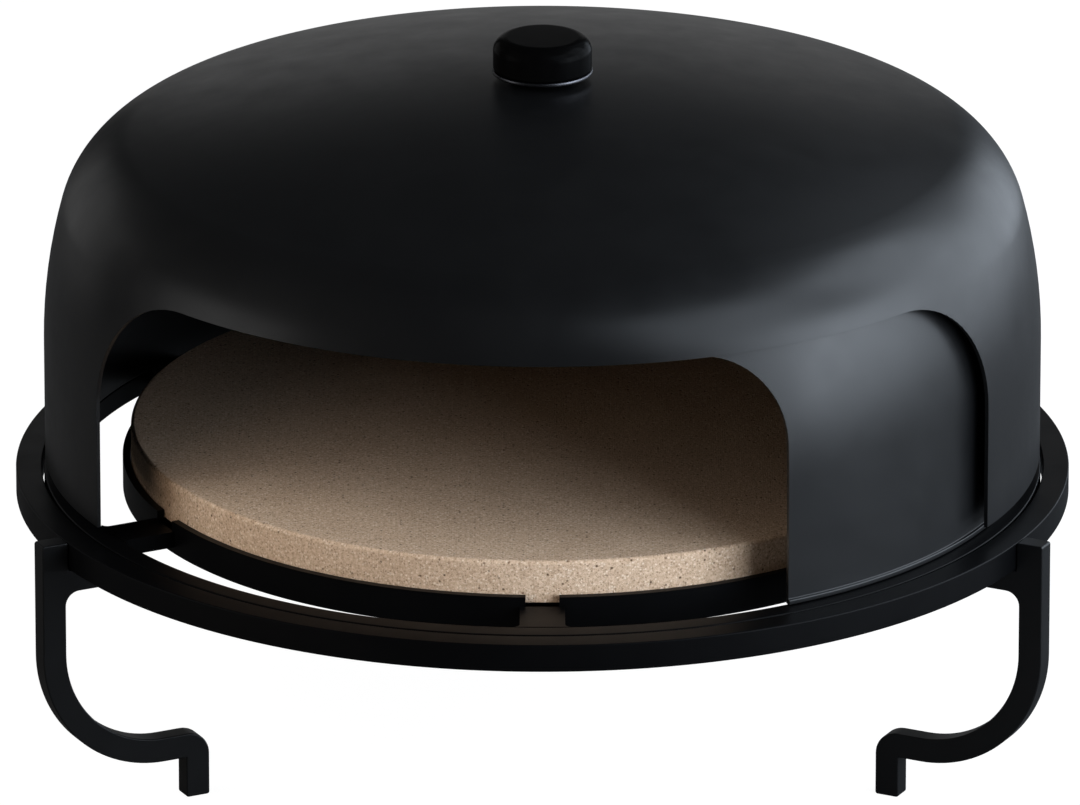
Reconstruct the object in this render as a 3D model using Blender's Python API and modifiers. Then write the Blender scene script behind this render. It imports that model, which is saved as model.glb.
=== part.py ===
"""Pizza oven that stands on a round fire plate.

A turning hood and a turning inner door stand over a baking stone, on two flat rings with six spokes
and three hooked legs. Metres, +Z up, the mouth faces -Y. The origin is the centre of the stone's top
face, and every piece is modelled from the ring plane, the level of both rings' top faces.
"""

import math

import bmesh
import bpy
from mathutils import Vector

# Clearances and cuts
SEAT = 0.0003
MERGE = 0.00001
OVERRUN = 0.020
ROUND_STEPS = 64
SMALL_STEPS = 24
KNOB_STEPS = 32

# Baking stone
STONE_RADIUS = 0.1995
STONE_THICKNESS = 0.0210
STONE_EDGE = 0.0022
STONE_PLAY = 0.0005

# Rings of square bar
RING_PAST_HOOD = 0.0142
OUTER_BAR_WIDTH = 0.0126
OUTER_BAR_HEIGHT = 0.0135
RING_SLIT = 0.0011
INNER_BAR_WIDTH = 0.0106
INNER_BAR_HEIGHT = 0.0108
BAR_EDGE = 0.0008

# Upright hoop round the stone
HOOP_THICKNESS = 0.0036
HOOP_RISE = 0.0046
HOOP_HEIGHT = 0.0160
NOTCH_WIDTH = 0.0160

# Spokes; the side ones are measured from the X axis
FRONT_SPOKE_SIDE = math.radians(27)
BACK_SPOKE_SIDE = math.radians(36.5)
SPOKE_WIDTH = 0.0215
SPOKE_THICKNESS = 0.0080
SPOKE_UNDER_STONE = 0.0275
SPOKE_CORNER = 0.0060

# Legs, cut from plate that stands in the radial plane
LEG_SIDE = math.radians(26.5)
LEG_PLATE = 0.0098
LEG_BAR = 0.0122
LEG_PAST_RING = 0.0140
LEG_RISE = 0.0004
LEG_TAB_THICKNESS = 0.0112
LEG_TAB_FILLET = 0.0070
LEG_BEND_DROP = 0.0569
LEG_BEND_RADIUS = 0.0635
FOOT_INSIDE_LEG = 0.0874
FOOT_WIDTH = 0.0122
FOOT_HEIGHT = 0.0206
FOOT_CORNER = 0.0115
FOOT_EDGE = 0.0012
LEG_TOP_EDGE = 0.0012

# Hood: an upright wall, two shoulder arcs and a crown
HOOD_PAST_STONE = 0.0417
HOOD_LIFT = 0.0062
WALL_TOP = 0.0648
LOW_SHOULDER = 0.2492
LOW_TURN = math.radians(15.3)
HIGH_SHOULDER = 0.0502
HIGH_TURN = math.radians(57.3)
SHEET = 0.0020
DOOR_INSET = 0.0083
LOW_STEPS = 3
HIGH_STEPS = 7
CROWN_STEPS = 3

# Mouths, measured round the wall and from the ring plane
HOOD_MOUTH_TURN = 0
HOOD_MOUTH_HALF = math.radians(62)
HOOD_MOUTH_TOP = 0.1308
HOOD_MOUTH_CORNER = 0.0620
DOOR_MOUTH_TURN = math.radians(-30)
DOOR_MOUTH_HALF = math.radians(60)
DOOR_MOUTH_TOP = 0.1290
DOOR_MOUTH_CORNER = 0.0475
DOOR_BEAD_HEIGHT = 0.0026
DOOR_BEAD_WIDTH = 0.0012
MOUTH_STEPS = 16
CORNER_STEPS = 7

# Pivot on the crown and the knob
BOLT_RADIUS = 0.0040
BOLT_PLAY = 0.0004
BOLT_HEAD_FLATS = 0.0130
BOLT_HEAD_HEIGHT = 0.0053
BOLT_IN_KNOB = 0.0100
WASHER_RADIUS = 0.0110
WASHER_THICKNESS = 0.0016
BUSH_RADIUS = 0.0095
KNOB_WASHER_RADIUS = 0.0150
KNOB_WASHER_THICKNESS = 0.0020
PLATE_PAST_KNOB = 0.00045
PLATE_THICKNESS = 0.0018
PLATE_EDGE = 0.0006
KNOB_RADIUS = 0.0238
KNOB_HEIGHT = 0.0159
KNOB_TOP_ROUND = 0.0070
KNOB_FOOT_ROUND = 0.0010

# Worked out from the sizes above
RING_PLANE = -(STONE_THICKNESS + SEAT)
HOOD_RADIUS = STONE_RADIUS + HOOD_PAST_STONE
OUTER_RING_RADIUS = HOOD_RADIUS + RING_PAST_HOOD
OUTER_RING_BORE = OUTER_RING_RADIUS - OUTER_BAR_WIDTH
INNER_RING_RADIUS = OUTER_RING_BORE - RING_SLIT
INNER_RING_BORE = INNER_RING_RADIUS - INNER_BAR_WIDTH
HOOP_BORE = STONE_RADIUS + STONE_PLAY
HOOP_RADIUS = HOOP_BORE + HOOP_THICKNESS
LEG_OUTER_RADIUS = OUTER_RING_RADIUS + LEG_PAST_RING
LEG_INNER_RADIUS = LEG_OUTER_RADIUS - LEG_BAR
LEG_RING_SIDE = OUTER_RING_RADIUS + SEAT
FOOT_INNER_RADIUS = LEG_OUTER_RADIUS - FOOT_INSIDE_LEG
BOLT_BORE = BOLT_RADIUS + BOLT_PLAY
PLATE_RADIUS = KNOB_RADIUS + PLATE_PAST_KNOB

QUARTER = math.pi / 2
FRONT = -QUARTER


def new_collection(name):
    """An empty collection in the scene."""
    collection = bpy.data.collections.new(name)
    bpy.context.scene.collection.children.link(collection)
    return collection


def clear_scene():
    """Removes what a new file holds."""
    for old in list(bpy.data.objects):
        bpy.data.objects.remove(old, do_unlink=True)
    for old in list(bpy.data.collections):
        bpy.data.collections.remove(old)


def material(name, colour, roughness, metallic):
    """A plain Principled material."""
    made = bpy.data.materials.new(name)
    made.use_nodes = True
    shader = made.node_tree.nodes["Principled BSDF"]
    shader.inputs["Base Color"].default_value = (*colour, 1)
    shader.inputs["Roughness"].default_value = roughness
    shader.inputs["Metallic"].default_value = metallic
    made.diffuse_color = (*colour, 1)
    return made


def add(name, mesh, look, collection):
    """An object of a mesh, in a collection, with its material."""
    made = bpy.data.objects.new(name, mesh)
    collection.objects.link(made)
    if look:
        mesh.materials.append(look)
    return made


def lathe(name, profile, look, collection, steps=ROUND_STEPS, closed=True):
    """Turns a profile of (radius, height) points that runs down its outer side."""
    mesh = bpy.data.meshes.new(name)
    count = len(profile)
    edges = [(i, i + 1) for i in range(count - 1)]
    if closed:
        edges.append((count - 1, 0))
    mesh.from_pydata([(radius, 0, height) for radius, height in profile], edges, [])
    made = add(name, mesh, look, collection)
    turn = made.modifiers.new("Turn", "SCREW")
    turn.axis = "Z"
    turn.angle = 2 * math.pi
    turn.steps = steps
    turn.render_steps = steps
    turn.use_merge_vertices = True
    turn.merge_threshold = MERGE
    turn.use_smooth_shade = True
    return made


def flat_plate(name, outline, thickness, look, collection):
    """A flat outline of (x, y) points, as a plate of the thickness centred on z = 0."""
    curve = bpy.data.curves.new(name, "CURVE")
    curve.dimensions = "2D"
    curve.fill_mode = "BOTH"
    curve.extrude = thickness / 2
    spline = curve.splines.new("POLY")
    spline.points.add(len(outline) - 1)
    for point, (x, y) in zip(spline.points, outline):
        point.co = (x, y, 0, 1)
    spline.use_cyclic_u = True
    drawn = bpy.data.objects.new(name + "_outline", curve)
    collection.objects.link(drawn)
    bpy.context.view_layer.update()
    seen = drawn.evaluated_get(bpy.context.evaluated_depsgraph_get())
    mesh = bpy.data.meshes.new_from_object(seen)
    mesh.name = name
    bpy.data.objects.remove(drawn, do_unlink=True)
    weld(mesh)
    mesh.materials.clear()
    return add(name, mesh, look, collection)


def weld(mesh):
    """Joins the caps of a mesh that was a curve to its sides."""
    work = bmesh.new()
    work.from_mesh(mesh)
    bmesh.ops.remove_doubles(work, verts=work.verts, dist=MERGE)
    bmesh.ops.recalc_face_normals(work, faces=work.faces)
    work.to_mesh(mesh)
    work.free()


def box_cutter(name, size, centre, azimuth, collection):
    """A box that cuts, turned to an azimuth."""
    bpy.ops.mesh.primitive_cube_add(size=1)
    made = bpy.context.object
    made.name = name
    for held in list(made.users_collection):
        held.objects.unlink(made)
    collection.objects.link(made)
    for vertex in made.data.vertices:
        vertex.co = Vector(a * b for a, b in zip(vertex.co, size))
    made.location = centre
    made.rotation_euler.z = azimuth
    hide_cutter(made)
    return made


def hide_cutter(made):
    """A cutter isn't part of the object."""
    made.hide_render = True
    made.display_type = "WIRE"


def cut(target, cutter):
    """Takes the cutter's shape out of the target."""
    step = target.modifiers.new("Cut " + cutter.name, "BOOLEAN")
    step.operation = "DIFFERENCE"
    step.solver = "EXACT"
    step.object = cutter


def arc(centre_x, centre_y, radius, start, end, steps):
    """Points on an arc, both ends included."""
    points = []
    for i in range(steps + 1):
        angle = start + (end - start) * i / steps
        points.append((centre_x + radius * math.cos(angle), centre_y + radius * math.sin(angle)))
    return points


def bar_profile(outer, inner, top, bottom, edge):
    """A bar's section with small chamfers, down its outer side and up its inner one."""
    return [
        (inner + edge, top),
        (outer - edge, top),
        (outer, top - edge),
        (outer, bottom + edge),
        (outer - edge, bottom),
        (inner + edge, bottom),
        (inner, bottom + edge),
        (inner, top - edge),
    ]


def hood_centres():
    """The centres of the two shoulder arcs, and the crown's centre height and radius."""
    low = (HOOD_RADIUS - LOW_SHOULDER, WALL_TOP)
    step = LOW_SHOULDER - HIGH_SHOULDER
    high = (low[0] + step * math.cos(LOW_TURN), low[1] + step * math.sin(LOW_TURN))
    total = LOW_TURN + HIGH_TURN
    crown = HIGH_SHOULDER + high[0] / math.cos(total)
    crown_height = high[1] - (crown - HIGH_SHOULDER) * math.sin(total)
    return low, high, crown_height, crown


def dome_surface(inset, foot, bore):
    """The dome's surface at an inset from the hood's outside, from the bore in its crown to its foot."""
    low, high, crown_height, crown = hood_centres()
    total = LOW_TURN + HIGH_TURN
    points = arc(0, crown_height, crown - inset, math.acos(bore / (crown - inset)), total, CROWN_STEPS)
    points += arc(*high, HIGH_SHOULDER - inset, total, LOW_TURN, HIGH_STEPS)[1:]
    points += arc(*low, LOW_SHOULDER - inset, LOW_TURN, 0, LOW_STEPS)[1:]
    points.append((HOOD_RADIUS - inset, foot))
    return points


def dome_height(inset, radius):
    """The height of the dome's crown at an inset, over a radius."""
    crown_height, crown = hood_centres()[2:]
    return crown_height + math.sqrt((crown - inset) ** 2 - radius**2)


def mouth_section(angle, top, inner, outer):
    """One upright section of the mouth cutter, at an angle from the front."""
    x = math.sin(angle)
    y = -math.cos(angle)
    heights = ((inner, -OVERRUN), (inner, top), (outer, top), (outer, -OVERRUN))
    return [(radius * x, radius * y, height) for radius, height in heights]


def mouth_columns(half, top, corner, radius):
    """The angle and height of the mouth's top edge, from its left side to its right."""
    reach = half * radius - corner
    right = []
    for i in range(CORNER_STEPS + 1):
        turn = QUARTER * i / CORNER_STEPS
        along = reach + corner * math.sin(turn)
        right.append((along / radius, top - corner + corner * math.cos(turn)))
    left = [(-angle, height) for angle, height in reversed(right)]
    flat = [(reach / radius * (2 * i / MOUTH_STEPS - 1), top) for i in range(1, MOUTH_STEPS)]
    return left + flat + right


def mouth_cutter(name, turn, half, top, corner, radius, collection):
    """A loft of upright sections, which takes the mouth out of a dome's wall."""
    inner = radius - 2 * OVERRUN
    outer = radius + OVERRUN
    vertices = []
    for angle, height in mouth_columns(half, top, corner, radius):
        vertices += mouth_section(angle, height, inner, outer)
    sections = len(vertices) // 4
    faces = [(0, 1, 2, 3)]
    for i in range(sections - 1):
        here = 4 * i
        there = here + 4
        for side in range(4):
            after = (side + 1) % 4
            faces.append((here + side, there + side, there + after, here + after))
    last = 4 * (sections - 1)
    faces.append((last + 3, last + 2, last + 1, last))
    mesh = bpy.data.meshes.new(name)
    mesh.from_pydata(vertices, [], faces)
    weld(mesh)
    made = add(name, mesh, None, collection)
    made.rotation_euler.z = turn
    made.location.z = RING_PLANE
    hide_cutter(made)
    return made


def on_ring_plane(made, parent=None):
    """Stands a piece that is modelled from the ring plane."""
    made.location.z = RING_PLANE
    if parent:
        put_under(made, parent)
    return made


def put_under(made, parent):
    """Parents a piece without moving it."""
    bpy.context.view_layer.update()
    made.parent = parent
    made.matrix_parent_inverse = parent.matrix_world.inverted()


def pivot(name, parent, collection):
    """An empty on the oven's upright axis."""
    made = bpy.data.objects.new(name, None)
    collection.objects.link(made)
    made.location.z = RING_PLANE
    if parent:
        put_under(made, parent)
    bpy.context.view_layer.update()
    return made


def make_stone(look, parts):
    """The round baking stone."""
    top = STONE_THICKNESS + SEAT
    edge = STONE_EDGE
    rim = STONE_RADIUS - edge
    profile = [(0, top)]
    profile += arc(rim, top - edge, edge, QUARTER, 0, 2)
    profile += arc(rim, SEAT + edge, edge, 0, -QUARTER, 2)
    profile.append((0, SEAT))
    return on_ring_plane(lathe("baking_stone", profile, look, parts, closed=False))


def make_rings(look, parts):
    """Two rings of square bar, one inside the other with a narrow slit."""
    outer = bar_profile(OUTER_RING_RADIUS, OUTER_RING_BORE, 0, -OUTER_BAR_HEIGHT, BAR_EDGE)
    inner = bar_profile(INNER_RING_RADIUS, INNER_RING_BORE, 0, -INNER_BAR_HEIGHT, BAR_EDGE)
    on_ring_plane(lathe("outer_ring", outer, look, parts))
    on_ring_plane(lathe("inner_ring", inner, look, parts))


def make_hoop(look, parts, cutters):
    """The upright hoop, with a window for each spoke and a narrower notch above it."""
    bottom = HOOP_RISE - HOOP_HEIGHT
    profile = [(HOOP_BORE, HOOP_RISE), (HOOP_RADIUS, HOOP_RISE), (HOOP_RADIUS, bottom), (HOOP_BORE, bottom)]
    hoop = on_ring_plane(lathe("stone_hoop", profile, look, parts))
    length = HOOP_THICKNESS + 2 * OVERRUN
    window = (length, SPOKE_WIDTH + 2 * SEAT, SPOKE_THICKNESS + 2 * SEAT)
    window_level = RING_PLANE - SPOKE_THICKNESS / 2
    notch_height = HOOP_RISE + OVERRUN
    notch = (length, NOTCH_WIDTH, notch_height)
    notch_level = RING_PLANE + notch_height / 2
    middle = (HOOP_BORE + HOOP_RADIUS) / 2
    for place, azimuth in spoke_azimuths().items():
        x = middle * math.cos(azimuth)
        y = middle * math.sin(azimuth)
        cut(hoop, box_cutter("spoke_window_" + place, window, (x, y, window_level), azimuth, cutters))
        cut(hoop, box_cutter("hoop_notch_" + place, notch, (x, y, notch_level), azimuth, cutters))


def spoke_azimuths():
    """Each spoke's place and its azimuth."""
    return {
        "front": FRONT,
        "front_right": -FRONT_SPOKE_SIDE,
        "back_right": BACK_SPOKE_SIDE,
        "back": QUARTER,
        "back_left": math.pi - BACK_SPOKE_SIDE,
        "front_left": math.pi + FRONT_SPOKE_SIDE,
    }


def spoke_outline():
    """A spoke from above, along +X, with round corners at its end under the stone."""
    half = SPOKE_WIDTH / 2
    end = math.sqrt(INNER_RING_BORE**2 - half**2) - SEAT
    start = STONE_RADIUS - SPOKE_UNDER_STONE
    corner = SPOKE_CORNER
    outline = [(end, -half), (end, half)]
    outline += arc(start + corner, half - corner, corner, QUARTER, math.pi, 4)
    outline += arc(start + corner, corner - half, corner, math.pi, math.pi + QUARTER, 4)
    return outline


def make_spokes(look, parts):
    """Six spokes from the inner ring, through the hoop, to under the stone."""
    for place, azimuth in spoke_azimuths().items():
        spoke = flat_plate("spoke_" + place, spoke_outline(), SPOKE_THICKNESS, look, parts)
        spoke.location.z = RING_PLANE - SPOKE_THICKNESS / 2
        spoke.rotation_euler.z = azimuth


def leg_outline():
    """A leg from the side: x is the radius and y the height from the ring plane."""
    ring_seat = -OUTER_BAR_HEIGHT - SEAT
    inner_seat = -INNER_BAR_HEIGHT - SEAT
    step = OUTER_RING_BORE - RING_SLIT / 2
    tab_bottom = ring_seat - LEG_TAB_THICKNESS
    bend_x = LEG_OUTER_RADIUS - LEG_BEND_RADIUS
    bend_y = -LEG_BEND_DROP
    under = bend_y - LEG_BEND_RADIUS
    bar_top = under + LEG_BAR
    foot = FOOT_INNER_RADIUS
    foot_out = foot + FOOT_WIDTH
    sole = under - FOOT_HEIGHT
    fillet = LEG_TAB_FILLET
    outline = [(INNER_RING_BORE, inner_seat), (INNER_RING_BORE, tab_bottom)]
    outline += arc(LEG_INNER_RADIUS - fillet, tab_bottom - fillet, fillet, QUARTER, 0, 4)
    outline += arc(bend_x, bend_y, LEG_BEND_RADIUS - LEG_BAR, 0, -QUARTER, 9)
    outline += arc(foot + FOOT_CORNER, bar_top - FOOT_CORNER, FOOT_CORNER, QUARTER, math.pi, 5)
    outline += arc(foot + FOOT_EDGE, sole + FOOT_EDGE, FOOT_EDGE, math.pi, math.pi + QUARTER, 2)
    outline += arc(foot_out - FOOT_EDGE, sole + FOOT_EDGE, FOOT_EDGE, -QUARTER, 0, 2)
    outline.append((foot_out, under))
    outline += arc(bend_x, bend_y, LEG_BEND_RADIUS, -QUARTER, 0, 10)
    top = LEG_RISE - LEG_TOP_EDGE
    outline += arc(LEG_OUTER_RADIUS - LEG_TOP_EDGE, top, LEG_TOP_EDGE, 0, QUARTER, 2)
    outline += arc(LEG_RING_SIDE + LEG_TOP_EDGE, top, LEG_TOP_EDGE, QUARTER, math.pi, 2)
    outline += [(LEG_RING_SIDE, ring_seat), (step, ring_seat), (step, inner_seat)]
    return outline


def make_legs(look, parts):
    """Three hooked legs under the rings, two at the front and one at the back."""
    azimuths = {
        "leg_front_left": math.pi + LEG_SIDE,
        "leg_front_right": -LEG_SIDE,
        "leg_back": QUARTER,
    }
    for name, azimuth in azimuths.items():
        leg = flat_plate(name, leg_outline(), LEG_PLATE, look, parts)
        leg.location.z = RING_PLANE
        leg.rotation_euler = (QUARTER, 0, azimuth)


def make_door(look, parts, cutters, parent):
    """The inner dome, whose wall closes the hood's mouth, with a bead round its foot."""
    outside = dome_surface(DOOR_INSET, SEAT + DOOR_BEAD_HEIGHT, BOLT_BORE)
    inside = dome_surface(DOOR_INSET + SHEET, SEAT, BOLT_BORE)
    bead = HOOD_RADIUS - DOOR_INSET + DOOR_BEAD_WIDTH
    profile = outside + [(bead, SEAT + DOOR_BEAD_HEIGHT), (bead, SEAT)] + inside[::-1]
    door = on_ring_plane(lathe("door_drum", profile, look, parts), parent)
    wall = HOOD_RADIUS - DOOR_INSET
    sizes = (DOOR_MOUTH_HALF, DOOR_MOUTH_TOP, DOOR_MOUTH_CORNER, wall)
    cut(door, mouth_cutter("door_mouth", DOOR_MOUTH_TURN, *sizes, cutters))


def make_hood(look, parts, cutters, parent):
    """The outer dome, which hangs on the pivot just clear of the rings."""
    outside = dome_surface(0, HOOD_LIFT, BOLT_BORE)
    inside = dome_surface(SHEET, HOOD_LIFT, BOLT_BORE)
    hood = on_ring_plane(lathe("outer_hood", outside + inside[::-1], look, parts), parent)
    sizes = (HOOD_MOUTH_HALF, HOOD_MOUTH_TOP, HOOD_MOUTH_CORNER, HOOD_RADIUS)
    cut(hood, mouth_cutter("hood_mouth", HOOD_MOUTH_TURN, *sizes, cutters))


def disc_profile(radius, bore, top, bottom, edge=0):
    """A washer's section; with an edge, its outer rim is chamfered."""
    if edge:
        return [
            (bore, top),
            (radius - edge, top),
            (radius, top - edge),
            (radius, bottom + edge),
            (radius - edge, bottom),
            (bore, bottom),
        ]
    return [(bore, top), (radius, top), (radius, bottom), (bore, bottom)]


def make_pivot(steel, dark, parts, parent):
    """The bolt with its washer, the bush between the domes, and the knob on top."""
    washer_top = dome_height(DOOR_INSET + SHEET, WASHER_RADIUS) - SEAT
    washer_bottom = washer_top - WASHER_THICKNESS
    head_top = washer_bottom - SEAT
    bush_bottom = dome_height(DOOR_INSET, 0) + SEAT
    bush_top = dome_height(SHEET, BUSH_RADIUS) - SEAT
    knob_washer_bottom = dome_height(0, 0) + SEAT
    knob_washer_top = knob_washer_bottom + KNOB_WASHER_THICKNESS
    plate_bottom = knob_washer_top + SEAT
    plate_top = plate_bottom + PLATE_THICKNESS
    knob_bottom = plate_top + SEAT
    knob_top = knob_bottom + KNOB_HEIGHT
    bolt_top = knob_bottom + BOLT_IN_KNOB

    washer = disc_profile(WASHER_RADIUS, BOLT_BORE, washer_top, washer_bottom)
    bush = disc_profile(BUSH_RADIUS, BOLT_BORE, bush_top, bush_bottom)
    knob_washer = disc_profile(KNOB_WASHER_RADIUS, BOLT_BORE, knob_washer_top, knob_washer_bottom)
    plate = disc_profile(PLATE_RADIUS, BOLT_BORE, plate_top, plate_bottom, PLATE_EDGE)
    turned = (
        ("pivot_washer", washer, steel),
        ("pivot_bush", bush, steel),
        ("knob_washer", knob_washer, dark),
        ("knob_plate", plate, steel),
    )
    for name, profile, look in turned:
        on_ring_plane(lathe(name, profile, look, parts, steps=SMALL_STEPS), parent)

    knob = [(0, knob_top)]
    knob += arc(KNOB_RADIUS - KNOB_TOP_ROUND, knob_top - KNOB_TOP_ROUND, KNOB_TOP_ROUND, QUARTER, 0, 5)
    foot_height = knob_bottom + KNOB_FOOT_ROUND
    knob += arc(KNOB_RADIUS - KNOB_FOOT_ROUND, foot_height, KNOB_FOOT_ROUND, 0, -QUARTER, 2)
    bore_top = bolt_top + SEAT
    knob += [(BOLT_BORE, knob_bottom), (BOLT_BORE, bore_top), (0, bore_top)]
    on_ring_plane(lathe("knob", knob, dark, parts, steps=KNOB_STEPS, closed=False), parent)

    make_bolt(head_top, bolt_top, steel, parts, parent)


def make_bolt(head_top, bolt_top, look, parts, parent):
    """A bolt with a hexagon head below and its plain shank upwards."""
    across_corners = BOLT_HEAD_FLATS / 2 / math.cos(math.pi / 6)
    head_bottom = head_top - BOLT_HEAD_HEIGHT
    sides = ((0, head_top), (across_corners, head_top), (across_corners, head_bottom), (0, head_bottom))
    head = on_ring_plane(lathe("pivot_bolt", sides, look, parts, steps=6, closed=False), parent)
    shank_foot = head_top - BOLT_HEAD_HEIGHT / 2
    profile = [(0, bolt_top), (BOLT_RADIUS, bolt_top), (BOLT_RADIUS, shank_foot), (0, shank_foot)]
    shank = lathe("bolt_shank", profile, None, parts, steps=SMALL_STEPS, closed=False)
    on_ring_plane(shank)
    hide_cutter(shank)
    join = head.modifiers.new("Shank", "BOOLEAN")
    join.operation = "UNION"
    join.solver = "EXACT"
    join.object = shank


def main():
    """Builds the oven."""
    clear_scene()
    parts = new_collection("pizza_oven")
    cutters = new_collection("cutters")
    coat = material("black_powder_coat", (0.012, 0.012, 0.013), 0.45, 0.0)
    stone = material("cordierite", (0.50, 0.38, 0.28), 0.9, 0.0)
    dark = material("black_phenolic", (0.008, 0.008, 0.008), 0.4, 0.0)
    steel = material("bright_steel", (0.55, 0.55, 0.56), 0.3, 1.0)

    make_stone(stone, parts)
    make_rings(coat, parts)
    make_hoop(coat, parts, cutters)
    make_spokes(coat, parts)
    make_legs(coat, parts)
    door_pivot = pivot("door_pivot", None, parts)
    hood_pivot = pivot("hood_pivot", door_pivot, parts)
    make_door(coat, parts, cutters, door_pivot)
    make_hood(coat, parts, cutters, hood_pivot)
    make_pivot(steel, dark, parts, hood_pivot)


main()
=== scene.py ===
"""Pizza oven with a turning hood and a turning inner door, over a baking stone on a stand of bar rings.

Metres, +Z up, the mouth faces -Y. Heights in the sections below are measured from the ring plane, the
level of both rings' top faces.
"""

import math

import bmesh
import bpy
from mathutils import Matrix, Vector


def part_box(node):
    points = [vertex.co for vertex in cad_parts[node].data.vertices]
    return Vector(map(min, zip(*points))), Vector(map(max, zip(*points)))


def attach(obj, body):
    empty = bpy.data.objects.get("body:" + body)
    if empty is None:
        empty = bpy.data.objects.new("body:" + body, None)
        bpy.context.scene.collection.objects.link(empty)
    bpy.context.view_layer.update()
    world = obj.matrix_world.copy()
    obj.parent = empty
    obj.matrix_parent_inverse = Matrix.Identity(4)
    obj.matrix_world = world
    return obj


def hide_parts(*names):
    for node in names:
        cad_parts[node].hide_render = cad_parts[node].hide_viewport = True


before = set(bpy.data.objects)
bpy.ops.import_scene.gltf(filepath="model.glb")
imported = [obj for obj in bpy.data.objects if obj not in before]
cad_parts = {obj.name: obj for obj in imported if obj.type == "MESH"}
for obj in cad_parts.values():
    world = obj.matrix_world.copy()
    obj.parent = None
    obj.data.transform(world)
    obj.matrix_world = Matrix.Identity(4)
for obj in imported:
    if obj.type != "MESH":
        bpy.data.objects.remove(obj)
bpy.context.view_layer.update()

QUARTER = math.pi / 2
FRONT = -QUARTER
WELD = 0.00001
BLANK_RADIUS = 0.1

# Sizes taken from the CAD nodes
RING_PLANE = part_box("outer_ring")[1].z
OUTER_RING_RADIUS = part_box("outer_ring")[1].x
OUTER_RING_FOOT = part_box("outer_ring")[0].z - RING_PLANE
INNER_RING_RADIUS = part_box("inner_ring")[1].x
INNER_RING_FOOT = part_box("inner_ring")[0].z - RING_PLANE
HOOP_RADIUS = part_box("stone_hoop")[1].x
HOOP_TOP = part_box("stone_hoop")[1].z - RING_PLANE
HOOP_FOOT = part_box("stone_hoop")[0].z - RING_PLANE
STONE_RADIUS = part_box("baking_stone")[1].x
STONE_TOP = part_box("baking_stone")[1].z - RING_PLANE
STONE_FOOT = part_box("baking_stone")[0].z - RING_PLANE
HOOD_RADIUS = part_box("outer_hood")[1].x
HOOD_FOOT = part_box("outer_hood")[0].z - RING_PLANE
DOOR_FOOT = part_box("door_drum")[0].z - RING_PLANE
FLOOR_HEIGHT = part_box("leg_back")[0].z
LEG_OUTER_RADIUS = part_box("leg_back")[1].y
LEG_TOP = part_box("leg_back")[1].z - RING_PLANE
SPOKE_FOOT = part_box("spoke_front")[0].z - RING_PLANE
SPOKE_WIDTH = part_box("spoke_front")[1].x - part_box("spoke_front")[0].x

# Bars, plates and play
SEAT = 0.0003
OUTER_BAR_WIDTH = 0.0126
INNER_BAR_WIDTH = 0.0106
BAR_ROUND = 0.0007
HOOP_THICKNESS = 0.0036
HOOP_EDGE = 0.0004
NOTCH_WIDTH = 0.0160
CUT_OVERRUN = 0.020
FRONT_SPOKE_SIDE = math.radians(27)
BACK_SPOKE_SIDE = math.radians(36.5)
SPOKE_UNDER_STONE = 0.0275
SPOKE_CORNER = 0.0060
SPOKE_WELD = 0.0032
SPOKE_EDGE = 0.0005
SPOKE_WELD_STEPS = 5
SPOKE_CORNER_STEPS = 8
RING_STEPS = 288

# Legs
LEG_SIDE = math.radians(26.5)
LEG_PLATE = 0.0098
LEG_BAR = 0.0122
LEG_TAB_THICKNESS = 0.0112
LEG_TAB_FILLET = 0.0070
LEG_BEND_DROP = 0.0569
LEG_BEND_RADIUS = 0.0635
FOOT_INSIDE_LEG = 0.0874
FOOT_WIDTH = 0.0122
FOOT_CORNER = 0.0115
FOOT_EDGE = 0.0012
LEG_TOP_EDGE = 0.0012
LEG_EDGE = 0.0007
FILLET_STEPS = 8
BEND_INSIDE_STEPS = 28
BEND_OUTSIDE_STEPS = 32
FOOT_CORNER_STEPS = 12
LEG_EDGE_STEPS = 4

# Domes
WALL_TOP = 0.0648
LOW_SHOULDER = 0.2492
LOW_TURN = math.radians(15.3)
HIGH_SHOULDER = 0.0502
HIGH_TURN = math.radians(57.3)
SHEET = 0.0020
SHEET_EDGE = 0.0005
DOOR_INSET = 0.0083
LOW_STEPS = 8
HIGH_STEPS = 18
CROWN_STEPS = 14
WALL_STEPS = 8
HOOD_MOUTH_TURN = 0
HOOD_MOUTH_HALF = math.radians(62)
HOOD_MOUTH_TOP = 0.1308
HOOD_MOUTH_CORNER = 0.0620
DOOR_MOUTH_TURN = math.radians(-30)
DOOR_MOUTH_HALF = math.radians(60)
DOOR_MOUTH_TOP = 0.1290
DOOR_MOUTH_CORNER = 0.0475
DOOR_BEAD_HEIGHT = 0.0026
DOOR_BEAD_WIDTH = 0.0012
FOOT_ROUND = 0.0005
BEAD_ROUND = 0.0007
BEAD_STEPS = 4
FOOT_STEPS = 3
DOME_WELD = 0.00015
MOUTH_COLUMN = 0.0080
MOUTH_CORNER_STEPS = 20

# Stone
STONE_EDGE = 0.0020
STONE_FOOT_EDGE = 0.0006
STONE_EDGE_STEPS = 6
STONE_FOOT_STEPS = 3

# Pivot and knob
BOLT_RADIUS = 0.0040
BOLT_BORE = 0.0044
BOLT_HEAD_FLATS = 0.0130
BOLT_CHAMFER = 0.0008
BUSH_STEPS = 64
KNOB_STEPS = 96
KNOB_TOP_STEPS = 14
KNOB_FOOT_STEPS = 5
SHANK_STEPS = 48
PLATE_EDGE = 0.0006
KNOB_TOP_ROUND = 0.0070
KNOB_FOOT_ROUND = 0.0010
WASHER_EDGE = 0.0003
BOLT_INSET = 0.2

# Edges sharper than these angles are rounded, and edges flatter than the last are shaded smooth
SHARP_ANGLE = math.radians(50)
SHEET_SHARP_ANGLE = math.radians(60)
SMOOTH_ANGLE = math.radians(35)

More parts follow.
